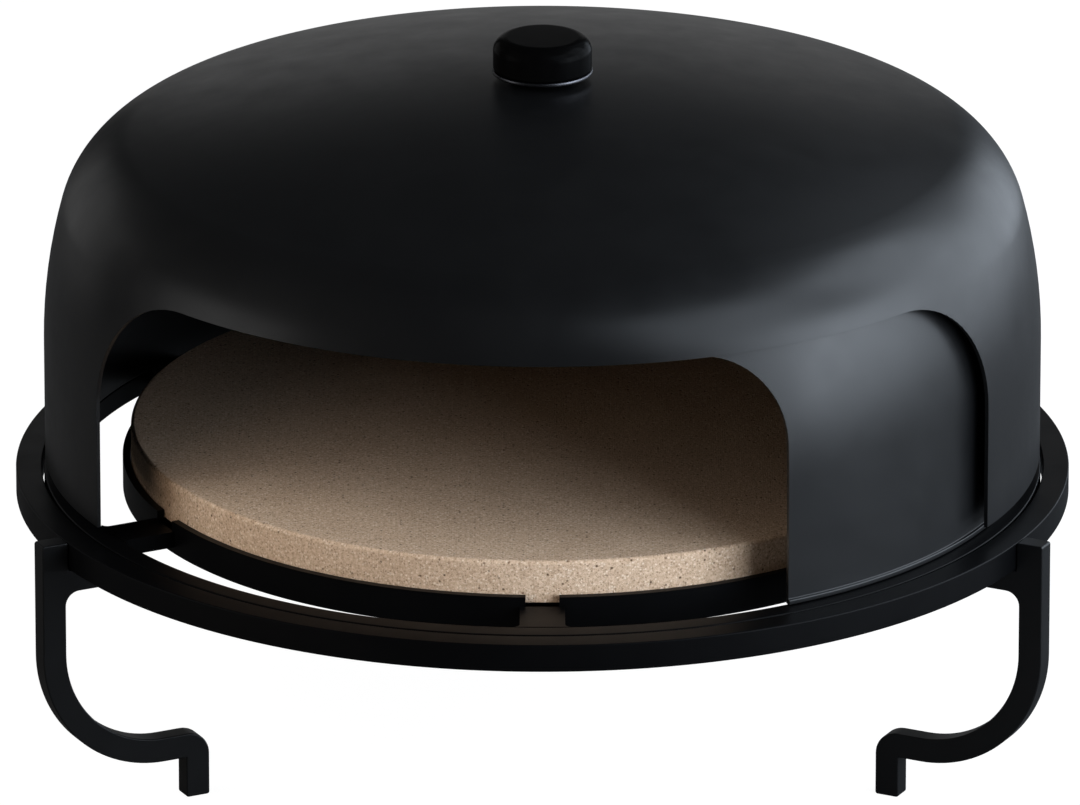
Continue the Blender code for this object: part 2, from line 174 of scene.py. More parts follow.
# Powder coats: dark tone, light tone, roughness and specular level
DOME_COAT = ((0.0036, 0.0038, 0.0042), (0.0050, 0.0052, 0.0056), 0.34, 0.42)
BAR_COAT = ((0.0018, 0.0019, 0.0022), (0.0028, 0.0029, 0.0032), 0.38, 0.08)
LEG_COAT = ((0.0030, 0.0032, 0.0035), (0.0042, 0.0044, 0.0048), 0.40, 0.30)
ROUGHNESS_DOWN = 0.03
ROUGHNESS_UP = 0.04

# Stone colours: the sand's tones by their place in the noise, its clouds, and the grit in it
SAND = [
    (0.30, (0.375, 0.250, 0.160)),
    (0.44, (0.590, 0.430, 0.300)),
    (0.54, (0.715, 0.540, 0.392)),
    (0.70, (0.875, 0.722, 0.565)),
]
SAND_CLOUD = [(0.3, (0.90, 0.88, 0.86)), (0.7, (1, 1, 1))]
PALE_GRIT = (0.84, 0.70, 0.56)
BROWN_GRIT = (0.36, 0.24, 0.15)
PORE = (0.13, 0.08, 0.045)

# Knob and steel tones, by their place in the noise
MOULDED_TONES = [(0.3, (0.0012, 0.0012, 0.0013)), (0.7, (0.002, 0.002, 0.002))]
STEEL_TONES = [(0.0, (0.09, 0.09, 0.10)), (1.0, (0.14, 0.14, 0.15))]

# Depths of the surfaces' relief
PEEL_DEPTH = 0.000010
FINE_PEEL_DEPTH = 0.000003
GRAIN_DEPTH = 0.00045
GRIT_DEPTH = 0.00010
PORE_DEPTH = 0.0004
MOULD_DEPTH = 0.000004
TURNED_DEPTH = 0.000008

# Camera
CAMERA_DISTANCE = 7.662
CAMERA_ELEVATION = math.radians(20.126)
CAMERA_ASIDE = -0.00117
CAMERA_RAISED = 0.02724
CAMERA_LENS = 526.24
CAMERA_SENSOR = 36
CAMERA_NEAR = 0.1
CAMERA_FAR = 200

# Studio
WORLD_LIGHT = 0.03
WORLD_GLOSS = 0.0
FLOOR_GLOSS = 0.0
FLOOR_RADIUS = 60
FLOOR_DARK = (0.12, 0.12, 0.12, 1)
FLOOR_PALE = (0.80, 0.80, 0.80, 1)
FLOOR_WHITE = 1.12
FLOOR_WHITE_SHARE = 0.86
WORLD_COLOUR = (0.92, 0.96, 1, 1)
PURE_WHITE = (1, 1, 1, 1)
LAMP_DISTANCE = 1.6
LAMP_WIDTH = 0.9
LAMP_TARGET = (0, 0, 0.02)
COOL = (0.80, 0.89, 1)
WHITE = (1, 1, 1)
WARM = (1, 0.83, 0.68)
PALE_COOL = (0.88, 0.93, 1)
# Each lamp: name, azimuth from +X, elevation, brightness, colour, and whether glossy faces mirror it
LAMPS = (
    ("front_right_fill", -45, 8, 6.7, PALE_COOL, False),
    ("front_right_softbox", -35, 8, 2.8, COOL, True),
    ("right_softbox", -15, 8, 5.0, COOL, True),
    ("right_back_softbox", 15, 8, 2.7, COOL, True),
    ("back_right_softbox", 45, 8, 2.0, COOL, True),
    ("high_front_softbox", -45, 38, 2.0, COOL, True),
    ("high_right_softbox", -15, 38, 1.1, COOL, True),
    ("high_right_back_softbox", 15, 38, 2.75, COOL, True),
    ("high_back_right_softbox", 45, 38, 0.43, COOL, True),
    ("back_softbox", 90, 8, 0.28, WHITE, True),
    ("left_back_softbox", 135, 8, 0.28, WHITE, True),
    ("left_softbox", 195, 8, 0.85, WHITE, True),
    ("left_front_fill", 225, 8, 1.7, WARM, False),
    ("high_left_fill", 195, 38, 3.6, WHITE, False),
    ("high_left_front_fill", 225, 38, 0.92, WARM, False),
)


def deselect():
    """Nothing selected."""
    bpy.ops.object.select_all(action="DESELECT")


def edit(made):
    """Goes into edit mode on one piece, with all of it selected."""
    deselect()
    made.select_set(True)
    bpy.context.view_layer.objects.active = made
    bpy.ops.object.mode_set(mode="EDIT")
    bpy.ops.mesh.select_all(action="SELECT")


def leave():
    """Back to object mode."""
    bpy.ops.object.mode_set(mode="OBJECT")


def pick(made, kind, test):
    """Selects the vertices, edges or faces of the piece in edit mode that pass a test."""
    bpy.ops.mesh.select_mode(type={"verts": "VERT", "edges": "EDGE", "faces": "FACE"}[kind])
    bpy.ops.mesh.select_all(action="DESELECT")
    work = bmesh.from_edit_mesh(made.data)
    for part in getattr(work, kind):
        if test(part):
            part.select_set(True)
    work.select_flush_mode()
    bmesh.update_edit_mesh(made.data)


def apply(made, modifier):
    """Applies one modifier."""
    deselect()
    made.select_set(True)
    bpy.context.view_layer.objects.active = made
    bpy.ops.object.modifier_apply(modifier=modifier.name)


def place(made, matrix=Matrix.Identity(4)):
    """Puts the object's own place and another into its mesh."""
    made.data.transform(matrix @ made.matrix_world)
    made.matrix_world = Matrix.Identity(4)


def drawn(name, outline, to_point):
    """A closed line through the outline's points, from a circle primitive."""
    deselect()
    bpy.ops.mesh.primitive_circle_add(vertices=len(outline), radius=BLANK_RADIUS)
    made = bpy.context.object
    made.name = name
    made.data.name = name
    for vertex, point in zip(made.data.vertices, outline):
        vertex.co = to_point(*point)
    return made


def turned(name, section, steps=RING_STEPS, closed=True):
    """Spins a section of (radius, height) points round the oven's axis."""
    made = drawn(name, section, lambda radius, height: (radius, 0, RING_PLANE + height))
    edit(made)
    if not closed:
        last = len(section) - 1
        pick(made, "edges", lambda edge: {v.index for v in edge.verts} == {0, last})
        bpy.ops.mesh.delete(type="EDGE")
    bpy.ops.mesh.select_mode(type="VERT")
    bpy.ops.mesh.select_all(action="SELECT")
    bpy.ops.mesh.spin(steps=steps, angle=2 * math.pi, center=(0, 0, 0), axis=(0, 0, 1))
    bpy.ops.mesh.select_all(action="SELECT")
    bpy.ops.mesh.remove_doubles(threshold=WELD)
    bpy.ops.mesh.normals_make_consistent(inside=False)
    leave()
    return made


def plate(name, outline, thickness, matrix):
    """A flat plate of an outline, centred on its own plane, then put in place."""
    made = drawn(name, outline, lambda x, y: (x, y, -thickness / 2))
    edit(made)
    bpy.ops.mesh.edge_face_add()
    bpy.ops.mesh.extrude_region_move(TRANSFORM_OT_translate={"value": (0, 0, thickness)})
    bpy.ops.mesh.select_all(action="SELECT")
    bpy.ops.mesh.normals_make_consistent(inside=False)
    leave()
    place(made, matrix)
    return made


def soften(made, width, segments=2, angle=SHARP_ANGLE):
    """Rounds the piece's sharp edges."""
    step = made.modifiers.new("Edges", "BEVEL")
    step.width = width
    step.segments = segments
    step.limit_method = "ANGLE"
    step.angle_limit = angle
    apply(made, step)


def cut(made, cutter):
    """Takes the cutter out of the piece and deletes the cutter."""
    step = made.modifiers.new("Cut", "BOOLEAN")
    step.operation = "DIFFERENCE"
    step.solver = "EXACT"
    step.object = cutter
    apply(made, step)
    bpy.data.objects.remove(cutter, do_unlink=True)


def settle(made, look, body, slot, *nodes):
    """Gives the finished piece even shading, its material and its body, and hides the nodes it stands for.
    """
    deselect()
    made.select_set(True)
    bpy.context.view_layer.objects.active = made
    bpy.ops.object.shade_smooth_by_angle(angle=SMOOTH_ANGLE)
    even = made.modifiers.new("Shading", "WEIGHTED_NORMAL")
    even.keep_sharp = True
    apply(made, even)
    made.data.materials.clear()
    made.data.materials.append(look)
    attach(made, body)
    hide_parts(*nodes)
    return made


def arc(centre_x, centre_y, radius, start, end, steps):
    """Points on an arc, both ends included."""
    points = []
    for i in range(steps + 1):
        angle = start + (end - start) * i / steps
        points.append((centre_x + radius * math.cos(angle), centre_y + radius * math.sin(angle)))
    return points


def round_bar(outer, inner, top, bottom, radius, steps=3):
    """The section of a bar whose four edges are rounded, down its outer side."""
    points = arc(outer - radius, top - radius, radius, QUARTER, 0, steps)
    points += arc(outer - radius, bottom + radius, radius, 0, -QUARTER, steps)
    points += arc(inner + radius, bottom + radius, radius, -QUARTER, -math.pi, steps)
    points += arc(inner + radius, top - radius, radius, math.pi, QUARTER, steps)
    return points


def dome_surface(inset, foot, bore):
    """The dome at an inset from the hood's outside, from the bore in its crown down to its foot."""
    low = (HOOD_RADIUS - LOW_SHOULDER, WALL_TOP)
    step = LOW_SHOULDER - HIGH_SHOULDER
    high = (low[0] + step * math.cos(LOW_TURN), low[1] + step * math.sin(LOW_TURN))
    total = LOW_TURN + HIGH_TURN
    crown = HIGH_SHOULDER + high[0] / math.cos(total)
    crown_height = high[1] - (crown - HIGH_SHOULDER) * math.sin(total)
    points = arc(0, crown_height, crown - inset, math.acos(bore / (crown - inset)), total, CROWN_STEPS)
    points += arc(*high, HIGH_SHOULDER - inset, total, LOW_TURN, HIGH_STEPS)[1:]
    points += arc(*low, LOW_SHOULDER - inset, LOW_TURN, 0, LOW_STEPS)[1:]
    for i in range(1, WALL_STEPS + 1):
        points.append((HOOD_RADIUS - inset, WALL_TOP + (foot - WALL_TOP) * i / WALL_STEPS))
    return points


def dome_foot(outer, inner, foot):
    """The foot of a dome's wall with its two edges rounded, from the outer side to the inner."""
    r = FOOT_ROUND
    points = arc(outer - r, foot + r, r, 0, -QUARTER, FOOT_STEPS)
    points += arc(inner + r, foot + r, r, -QUARTER, -math.pi, FOOT_STEPS)
    return points


def mouth_block(turn, half, top, corner, radius):
    """The block that cuts a mouth: a cube with two round top edges, in columns wrapped round the wall."""
    width = 2 * half * radius
    height = top + CUT_OVERRUN
    deselect()
    middle = (0, -CUT_OVERRUN / 2, top - height / 2)
    bpy.ops.mesh.primitive_cube_add(size=1, scale=(width, 3 * CUT_OVERRUN, height), location=middle)
    made = bpy.context.object
    place(made)
    edit(made)
    pick(made, "edges", lambda edge: all(v.co.z > top - WELD for v in edge.verts)
         and edge.verts[0].co.x * edge.verts[1].co.x > 0)
    bpy.ops.mesh.bevel(offset=corner, segments=MOUTH_CORNER_STEPS, affect="EDGES")
    columns = round(width / MOUTH_COLUMN)
    planes = {round(width * (i / columns - 0.5), 6) for i in range(1, columns)}
    flat = half * radius - corner
    planes = {x for x in planes if abs(x) < flat}
    work = bmesh.from_edit_mesh(made.data)
    planes |= {round(v.co.x, 6) for v in work.verts if abs(v.co.x) < half * radius - WELD}
    for x in sorted(planes):
        bpy.ops.mesh.select_all(action="SELECT")
        bpy.ops.mesh.bisect(plane_co=(x, 0, 0), plane_no=(1, 0, 0))
    bpy.ops.mesh.select_all(action="SELECT")
    bpy.ops.mesh.remove_doubles(threshold=WELD)
    leave()
    for vertex in made.data.vertices:
        angle = vertex.co.x / radius + turn
        reach = radius + vertex.co.y
        vertex.co = (reach * math.sin(angle), -reach * math.cos(angle), RING_PLANE + vertex.co.z)
    edit(made)
    bpy.ops.mesh.normals_make_consistent(inside=False)
    leave()
    return made


def cutting_box(size, centre, azimuth):
    """A box that cuts, turned round the oven's axis."""
    deselect()
    bpy.ops.mesh.primitive_cube_add(size=1, scale=size, location=centre)
    made = bpy.context.object
    place(made)
    place(made, Matrix.Rotation(azimuth, 4, "Z"))
    return made


def nodes_of(name):
    """A new material's node tree and its Principled shader."""
    made = bpy.data.materials.new(name)
    made.use_nodes = True
    return made, made.node_tree, made.node_tree.nodes["Principled BSDF"]


def put(tree, kind, inputs=None, **settings):
    """A node with its settings and its unlinked inputs."""
    node = tree.nodes.new(kind)
    for key, value in settings.items():
        setattr(node, key, value)
    for key, value in (inputs or {}).items():
        node.inputs[key].default_value = value
    return node


def ramp(tree, source, stops):
    """A colour ramp on a value, with its stops."""
    node = tree.nodes.new("ShaderNodeValToRGB")
    while len(node.color_ramp.elements) < len(stops):
        node.color_ramp.elements.new(0.5)
    for element, (position, colour) in zip(node.color_ramp.elements, stops):
        element.position = position
        element.color = (*colour, 1)
    tree.links.new(source, node.inputs["Fac"])
    return node.outputs["Color"]


def noise(tree, where, scale, detail, roughness=0.5):
    """A noise pattern's value."""
    node = put(tree, "ShaderNodeTexNoise", {"Scale": scale, "Detail": detail, "Roughness": roughness})
    tree.links.new(where, node.inputs["Vector"])
    return node.outputs["Fac"]


def between(tree, source, low, high, to_low, to_high):
    """Maps a value from one range to another."""
    node = put(tree, "ShaderNodeMapRange",
               {"From Min": low, "From Max": high, "To Min": to_low, "To Max": to_high})
    tree.links.new(source, node.inputs["Value"])
    return node.outputs["Result"]


def bump(tree, source, distance, strength=1.0, under=None):
    """A bump from a height value, over another bump if there is one."""
    node = put(tree, "ShaderNodeBump", {"Distance": distance, "Strength": strength})
    tree.links.new(source, node.inputs["Height"])
    if under:
        tree.links.new(under, node.inputs["Normal"])
    return node.outputs["Normal"]


def powder_coat(name, dark, light, roughness, shine):
    """Black powder coat: a fine orange peel, with slow changes of tone and gloss."""
    made, tree, shader = nodes_of(name)
    where = tree.nodes.new("ShaderNodeTexCoord").outputs["Object"]
    cloud = noise(tree, where, 9, 4, 0.6)
    tone = ramp(tree, cloud, [(0.35, dark), (0.68, light)])
    tree.links.new(tone, shader.inputs["Base Color"])
    patches = noise(tree, where, 38, 5, 0.65)
    gloss = between(tree, patches, 0.3, 0.7, roughness - ROUGHNESS_DOWN, roughness + ROUGHNESS_UP)
    tree.links.new(gloss, shader.inputs["Roughness"])
    peel = bump(tree, noise(tree, where, 750, 2), PEEL_DEPTH)
    fine_peel = bump(tree, noise(tree, where, 2600, 1), FINE_PEEL_DEPTH, under=peel)
    tree.links.new(fine_peel, shader.inputs["Normal"])
    shader.inputs["Specular IOR Level"].default_value = shine
    return made


def grit(tree, where, scale, share, near, far):
    """Separate grains: 1 in the middle of a share of the cells, 0 outside."""
    cell = put(tree, "ShaderNodeTexVoronoi", {"Scale": scale, "Randomness": 1.0})
    tree.links.new(where, cell.inputs["Vector"])
    middle = between(tree, cell.outputs["Distance"], near, far, 1, 0)
    split = tree.nodes.new("ShaderNodeSeparateColor")
    tree.links.new(cell.outputs["Color"], split.inputs["Color"])
    chosen = between(tree, split.outputs["Red"], share, share - 0.12, 0, 1)
    both = put(tree, "ShaderNodeMath", operation="MULTIPLY")
    tree.links.new(middle, both.inputs[0])
    tree.links.new(chosen, both.inputs[1])
    return both.outputs["Value"]


def blended(tree, share, under, over, blend="MIX"):
    """One colour over another, by a share that is a value or a socket."""
    node = put(tree, "ShaderNodeMix", data_type="RGBA", blend_type=blend)
    if isinstance(share, (int, float)):
        node.inputs["Factor"].default_value = share
    else:
        tree.links.new(share, node.inputs["Factor"])
    tree.links.new(under, node.inputs["A"])
    if isinstance(over, tuple):
        node.inputs["B"].default_value = (*over, 1)
    else:
        tree.links.new(over, node.inputs["B"])
    return node.outputs["Result"]


def cordierite(name):
    """Pressed stone: sandy grain, fine darker and paler grit, and small open pores."""
    made, tree, shader = nodes_of(name)
    where = tree.nodes.new("ShaderNodeTexCoord").outputs["Object"]
    sand = ramp(tree, noise(tree, where, 700, 6, 0.8), SAND)
    cloud = ramp(tree, noise(tree, where, 30, 4, 0.6), SAND_CLOUD)
    tone = blended(tree, 1.0, sand, cloud, "MULTIPLY")
    pale = grit(tree, where, 820, 0.30, 0.20, 0.60)
    tone = blended(tree, pale, tone, PALE_GRIT)
    brown = grit(tree, where, 900, 0.34, 0.16, 0.55)
    tone = blended(tree, brown, tone, BROWN_GRIT)
    pore = grit(tree, where, 430, 0.20, 0.10, 0.34)
    tone = blended(tree, pore, tone, PORE)
    tree.links.new(tone, shader.inputs["Base Color"])
    grain = bump(tree, noise(tree, where, 850, 5, 0.8), GRAIN_DEPTH)
    raised = bump(tree, brown, GRIT_DEPTH, under=grain)
    hollow = between(tree, pore, 0, 1, 1, 0)
    tree.links.new(bump(tree, hollow, PORE_DEPTH, under=raised), shader.inputs["Normal"])
    shader.inputs["Roughness"].default_value = 0.93
    shader.inputs["Specular IOR Level"].default_value = 0.2
    return made


def moulded_black(name):
    """Black moulded knob: satin, with a fine spark-eroded grain."""
    made, tree, shader = nodes_of(name)
    where = tree.nodes.new("ShaderNodeTexCoord").outputs["Object"]
    tone = ramp(tree, noise(tree, where, 60, 3), MOULDED_TONES)
    tree.links.new(tone, shader.inputs["Base Color"])
    gloss = between(tree, noise(tree, where, 150, 4), 0.3, 0.7, 0.20, 0.27)
    tree.links.new(gloss, shader.inputs["Roughness"])
    tree.links.new(bump(tree, noise(tree, where, 1800, 2), MOULD_DEPTH), shader.inputs["Normal"])
    shader.inputs["IOR"].default_value = 1.12
    shader.inputs["Specular IOR Level"].default_value = 0.2
    return made


def plain_steel(name):
    """Turned bright steel with faint rings round the bolt's axis."""
    made, tree, shader = nodes_of(name)
    where = tree.nodes.new("ShaderNodeTexCoord").outputs["Object"]
    rings = put(tree, "ShaderNodeTexWave", {"Scale": 900, "Distortion": 2.0, "Detail": 2.0},
                wave_type="RINGS", rings_direction="Z")
    tree.links.new(where, rings.inputs["Vector"])
    tone = ramp(tree, rings.outputs["Fac"], STEEL_TONES)
    tree.links.new(tone, shader.inputs["Base Color"])
    gloss = between(tree, noise(tree, where, 300, 3), 0.3, 0.7, 0.30, 0.40)
    tree.links.new(gloss, shader.inputs["Roughness"])
    tree.links.new(bump(tree, rings.outputs["Fac"], TURNED_DEPTH), shader.inputs["Normal"])
    shader.inputs["Metallic"].default_value = 1.0
    return made


def make_camera():
    """The camera, at the photograph's long lens and angle."""
    ring_centre = Vector((0, 0, RING_PLANE))
    up = Vector((0, math.sin(CAMERA_ELEVATION), math.cos(CAMERA_ELEVATION)))
    toward = Vector((0, -math.cos(CAMERA_ELEVATION), math.sin(CAMERA_ELEVATION)))
    data = bpy.data.cameras.new("camera")
    data.sensor_width = CAMERA_SENSOR
    data.lens = CAMERA_LENS
    data.clip_start = CAMERA_NEAR
    data.clip_end = CAMERA_FAR
    made = bpy.data.objects.new("camera", data)
    bpy.context.scene.collection.objects.link(made)
    made.location = ring_centre + toward * CAMERA_DISTANCE
    target = ring_centre + Vector((CAMERA_ASIDE, 0, 0)) + up * CAMERA_RAISED
    made.rotation_euler = (target - made.location).to_track_quat("-Z", "Y").to_euler()
    bpy.context.scene.camera = made


def ray_share(tree, glossy):
    """1 for camera and transmission rays, and a share for glossy ones."""
    path = tree.nodes.new("ShaderNodeLightPath")
    shown = put(tree, "ShaderNodeMath", operation="MAXIMUM")
    tree.links.new(path.outputs["Is Camera Ray"], shown.inputs[0])
    tree.links.new(path.outputs["Is Transmission Ray"], shown.inputs[1])
    partly = put(tree, "ShaderNodeMath", operation="MULTIPLY_ADD", use_clamp=True)
    tree.links.new(path.outputs["Is Glossy Ray"], partly.inputs[0])
    partly.inputs[1].default_value = glossy
    tree.links.new(shown.outputs["Value"], partly.inputs[2])
    return partly.outputs["Value"]


def make_world():
    """White where the camera looks past the floor, and dim soft light for the rest."""
    world = bpy.data.worlds.new("studio")
    bpy.context.scene.world = world
    world.use_nodes = True
    tree = world.node_tree
    dim = tree.nodes["Background"]
    dim.inputs["Color"].default_value = WORLD_COLOUR
    dim.inputs["Strength"].default_value = WORLD_LIGHT
    white = put(tree, "ShaderNodeBackground", {"Color": PURE_WHITE, "Strength": 1.0})
    mix = tree.nodes.new("ShaderNodeMixShader")
    tree.links.new(ray_share(tree, WORLD_GLOSS), mix.inputs["Fac"])
    tree.links.new(dim.outputs["Background"], mix.inputs[1])
    tree.links.new(white.outputs["Background"], mix.inputs[2])
    tree.links.new(mix.outputs["Shader"], tree.nodes["World Output"].inputs["Surface"])


def make_floor():
    """A round pale floor under the feet."""
    deselect()
    bpy.ops.mesh.primitive_circle_add(vertices=96, radius=FLOOR_RADIUS, fill_type="NGON",
                                      location=(0, 0, FLOOR_HEIGHT))
    floor = bpy.context.object
    floor.name = "floor"
    place(floor)
    made = bpy.data.materials.new("pale_floor")
    made.use_nodes = True
    tree = made.node_tree
    tree.nodes.remove(tree.nodes["Principled BSDF"])
    plain = tree.nodes.new("ShaderNodeBsdfDiffuse")
    pale = put(tree, "ShaderNodeMix", data_type="RGBA")
    tree.links.new(tree.nodes.new("ShaderNodeLightPath").outputs["Is Camera Ray"], pale.inputs["Factor"])
    pale.inputs["A"].default_value = FLOOR_DARK
    pale.inputs["B"].default_value = FLOOR_PALE
    tree.links.new(pale.outputs["Result"], plain.inputs["Color"])
    white = put(tree, "ShaderNodeEmission", {"Color": PURE_WHITE, "Strength": FLOOR_WHITE})
    part = put(tree, "ShaderNodeMath", operation="MULTIPLY")
    tree.links.new(ray_share(tree, FLOOR_GLOSS), part.inputs[0])
    part.inputs[1].default_value = FLOOR_WHITE_SHARE
    mix = tree.nodes.new("ShaderNodeMixShader")
    tree.links.new(part.outputs["Value"], mix.inputs["Fac"])
    tree.links.new(plain.outputs["BSDF"], mix.inputs[1])
    tree.links.new(white.outputs["Emission"], mix.inputs[2])
    tree.links.new(mix.outputs["Shader"], tree.nodes["Material Output"].inputs["Surface"])
    floor.data.materials.append(made)


def softbox(name, location, target, width, brightness, colour, mirrored):
    """A square lamp of an even brightness, unseen by the camera, and by glossy faces if not mirrored."""
    data = bpy.data.lights.new(name, "AREA")
    data.shape = "SQUARE"
    data.size = width
    data.energy = brightness * math.pi * width * width
    data.color = colour
    made = bpy.data.objects.new(name, data)
    bpy.context.scene.collection.objects.link(made)
    made.location = location
    made.rotation_euler = (Vector(target) - Vector(location)).to_track_quat("-Z", "Y").to_euler()
    made.visible_camera = False
    made.visible_glossy = mirrored


def make_studio():
    """Camera, floor and lamps."""
    make_camera()
    make_world()
    make_floor()
    for name, azimuth, elevation, brightness, colour, mirrored in LAMPS:
        a = math.radians(azimuth)
        e = math.radians(elevation)
        away = Vector((math.cos(e) * math.cos(a), math.cos(e) * math.sin(a), math.sin(e)))
        softbox(name, LAMP_DISTANCE * away, LAMP_TARGET, LAMP_WIDTH, brightness, colour, mirrored)


def make_stone(look):
    """The baking stone, with softly rounded edges."""
    edge = STONE_EDGE
    section = [(0, STONE_TOP)]
    section += arc(STONE_RADIUS - edge, STONE_TOP - edge, edge, QUARTER, 0, STONE_EDGE_STEPS)
    edge = STONE_FOOT_EDGE
    section += arc(STONE_RADIUS - edge, STONE_FOOT + edge, edge, 0, -QUARTER, STONE_FOOT_STEPS)
    section.append((0, STONE_FOOT))
    stone = turned("stone_disc", section, closed=False)
    settle(stone, look, "base", "stone", "baking_stone")


def make_rings(look):
    """The two bar rings."""
    outer_bore = OUTER_RING_RADIUS - OUTER_BAR_WIDTH
    section = round_bar(OUTER_RING_RADIUS, outer_bore, 0, OUTER_RING_FOOT, BAR_ROUND)
    settle(turned("outer_bar_ring", section), look, "base", "black_coat", "outer_ring")
    inner_bore = INNER_RING_RADIUS - INNER_BAR_WIDTH
    section = round_bar(INNER_RING_RADIUS, inner_bore, 0, INNER_RING_FOOT, BAR_ROUND)
    settle(turned("inner_bar_ring", section), look, "base", "black_coat", "inner_ring")


def make_hoop(look):
    """The hoop round the stone, notched over each spoke."""
    bore = HOOP_RADIUS - HOOP_THICKNESS
    section = [(HOOP_RADIUS, HOOP_TOP), (HOOP_RADIUS, HOOP_FOOT), (bore, HOOP_FOOT), (bore, HOOP_TOP)]
    hoop = turned("stone_band", section)
    notch_height = HOOP_TOP + CUT_OVERRUN
    notch = (CUT_OVERRUN, NOTCH_WIDTH, notch_height)
    middle = HOOP_RADIUS - HOOP_THICKNESS / 2
    for azimuth in spoke_azimuths().values():
        cut(hoop, cutting_box(notch, (middle, 0, RING_PLANE + notch_height / 2), azimuth))
    soften(hoop, HOOP_EDGE)
    settle(hoop, look, "base", "black_coat", "stone_hoop")


def spoke_azimuths():
    """Each spoke's place and its azimuth."""
    return {
        "front": FRONT,
        "front_right": -FRONT_SPOKE_SIDE,
        "back_right": BACK_SPOKE_SIDE,
        "back": QUARTER,
        "back_left": math.pi - BACK_SPOKE_SIDE,
        "front_left": math.pi + FRONT_SPOKE_SIDE,
    }


def spoke_outline():
    """A spoke from above, along +X: a weld's flare at the ring and round corners under the stone."""
    half = SPOKE_WIDTH / 2
    flare = SPOKE_WELD
    ring = INNER_RING_RADIUS - INNER_BAR_WIDTH - SEAT
    wide_end = math.sqrt(ring**2 - (half + flare) ** 2)
    middle_end = math.sqrt(ring**2 - half**2)
    start = STONE_RADIUS - SPOKE_UNDER_STONE
    corner = SPOKE_CORNER
    outline = arc(wide_end - flare, -half - flare, flare, QUARTER, 0, SPOKE_WELD_STEPS)
    outline += [(middle_end, -half), (middle_end, half)]
    outline += arc(wide_end - flare, half + flare, flare, 0, -QUARTER, SPOKE_WELD_STEPS)
    outline += arc(start + corner, half - corner, corner, QUARTER, math.pi, SPOKE_CORNER_STEPS)
    outline += arc(start + corner, corner - half, corner, math.pi, math.pi + QUARTER, SPOKE_CORNER_STEPS)
    return outline


def make_spokes(look):
    """Six spokes."""
    for name, azimuth in spoke_azimuths().items():
        turn = Matrix.Rotation(azimuth, 4, "Z")
        matrix = turn @ Matrix.Translation((0, 0, RING_PLANE + SPOKE_FOOT / 2))
        spoke = plate("spoke_bar_" + name, spoke_outline(), -SPOKE_FOOT, matrix)
        soften(spoke, SPOKE_EDGE)
        settle(spoke, look, "base", "black_coat", "spoke_" + name)


def leg_outline():
    """A leg from the side: x is the radius and y the height from the ring plane."""
    inner_bore = INNER_RING_RADIUS - INNER_BAR_WIDTH
    leg_inner = LEG_OUTER_RADIUS - LEG_BAR
    ring_seat = OUTER_RING_FOOT - SEAT
    inner_seat = INNER_RING_FOOT - SEAT
    step = (OUTER_RING_RADIUS - OUTER_BAR_WIDTH + INNER_RING_RADIUS) / 2
    tab_bottom = ring_seat - LEG_TAB_THICKNESS
    bend_x = LEG_OUTER_RADIUS - LEG_BEND_RADIUS
    bend_y = -LEG_BEND_DROP
    under = bend_y - LEG_BEND_RADIUS
    bar_top = under + LEG_BAR
    foot = LEG_OUTER_RADIUS - FOOT_INSIDE_LEG
    foot_out = foot + FOOT_WIDTH
    sole = FLOOR_HEIGHT - RING_PLANE
    fillet = LEG_TAB_FILLET
    edge = FOOT_EDGE
    outline = [(inner_bore, inner_seat), (inner_bore, tab_bottom)]
    outline += arc(leg_inner - fillet, tab_bottom - fillet, fillet, QUARTER, 0, FILLET_STEPS)
    outline += arc(bend_x, bend_y, LEG_BEND_RADIUS - LEG_BAR, 0, -QUARTER, BEND_INSIDE_STEPS)
    corner = FOOT_CORNER
    outline += arc(foot + corner, bar_top - corner, corner, QUARTER, math.pi, FOOT_CORNER_STEPS)
    outline += arc(foot + edge, sole + edge, edge, math.pi, math.pi + QUARTER, LEG_EDGE_STEPS)
    outline += arc(foot_out - edge, sole + edge, edge, -QUARTER, 0, LEG_EDGE_STEPS)
    outline.append((foot_out, under))
    outline += arc(bend_x, bend_y, LEG_BEND_RADIUS, -QUARTER, 0, BEND_OUTSIDE_STEPS)
    edge = LEG_TOP_EDGE
    outline += arc(LEG_OUTER_RADIUS - edge, LEG_TOP - edge, edge, 0, QUARTER, LEG_EDGE_STEPS)
    ring_side = OUTER_RING_RADIUS + SEAT
    outline += arc(ring_side + edge, LEG_TOP - edge, edge, QUARTER, math.pi, LEG_EDGE_STEPS)
    outline += [(ring_side, ring_seat), (step, ring_seat), (step, inner_seat)]
    return outline


def make_legs(look):
    """Three hooked legs."""
    azimuths = {"front_left": math.pi + LEG_SIDE, "front_right": -LEG_SIDE, "back": QUARTER}
    for name, azimuth in azimuths.items():
        matrix = Matrix.Translation((0, 0, RING_PLANE)) @ Matrix.Rotation(azimuth, 4, "Z")
        matrix @= Matrix.Rotation(QUARTER, 4, "X")
        leg = plate("hook_leg_" + name, leg_outline(), LEG_PLATE, matrix)
        soften(leg, LEG_EDGE, 3)
        settle(leg, look, "base", "black_coat", "leg_" + name)


def make_dome(name, section, mouth, look, body, node):
    """A spun dome with its mouth cut out and its edges rounded."""
    dome = turned(name, section)
    cut(dome, mouth_block(*mouth))
    edit(dome)
    bpy.ops.mesh.remove_doubles(threshold=DOME_WELD)
    leave()
    soften(dome, SHEET_EDGE, angle=SHEET_SHARP_ANGLE)
    settle(dome, look, body, "black_coat", node)


